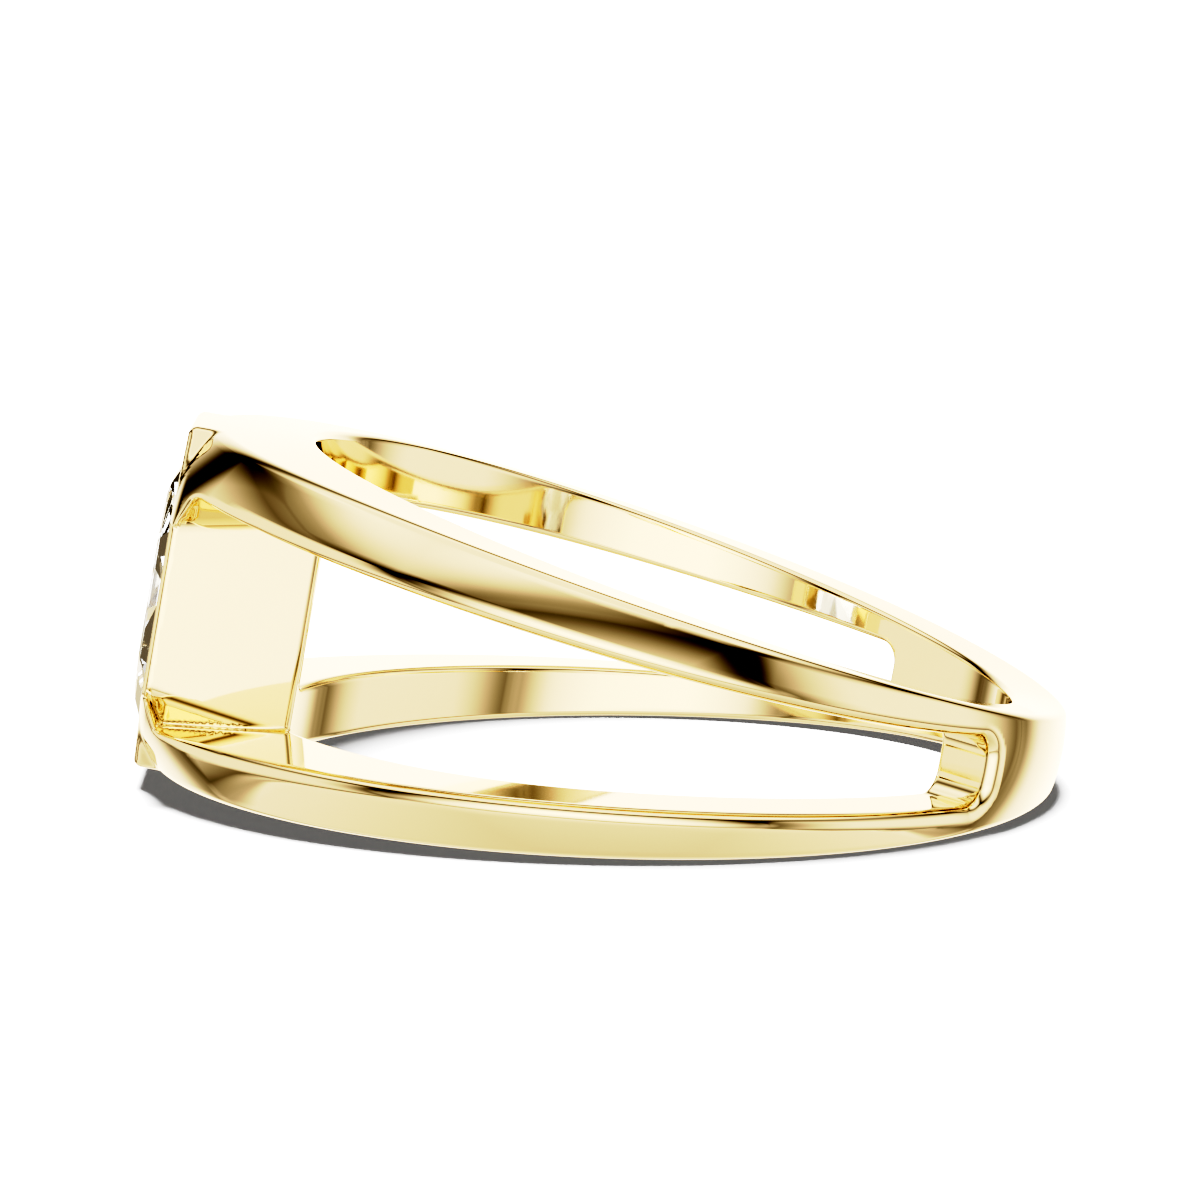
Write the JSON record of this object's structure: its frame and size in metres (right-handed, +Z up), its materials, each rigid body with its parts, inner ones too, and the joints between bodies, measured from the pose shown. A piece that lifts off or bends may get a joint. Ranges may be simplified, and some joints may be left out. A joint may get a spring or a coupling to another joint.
{
  "type": "split shank ring",
  "caption": "Ring lying on its side, with a domed band split by a slot on each side and an octagonal setting that holds a step-cut stone.",
  "frame": {"origin": "middle of the ring's length and width, on the surface that the ring lies on", "axes": "+X from the stone towards the base of the band, +Y across the finger hole, +Z up; the finger hole's axis leans from +Z towards +X by the slope of the tapered band"},
  "size_m": [0.0222, 0.0214, 0.0086],
  "materials": {
    "gold": "polished",
    "diamond": "polished"
  },
  "bodies": {
    "root": {"shank_setting": "gold", "stone": "diamond"}
  },
  "joints": []
}
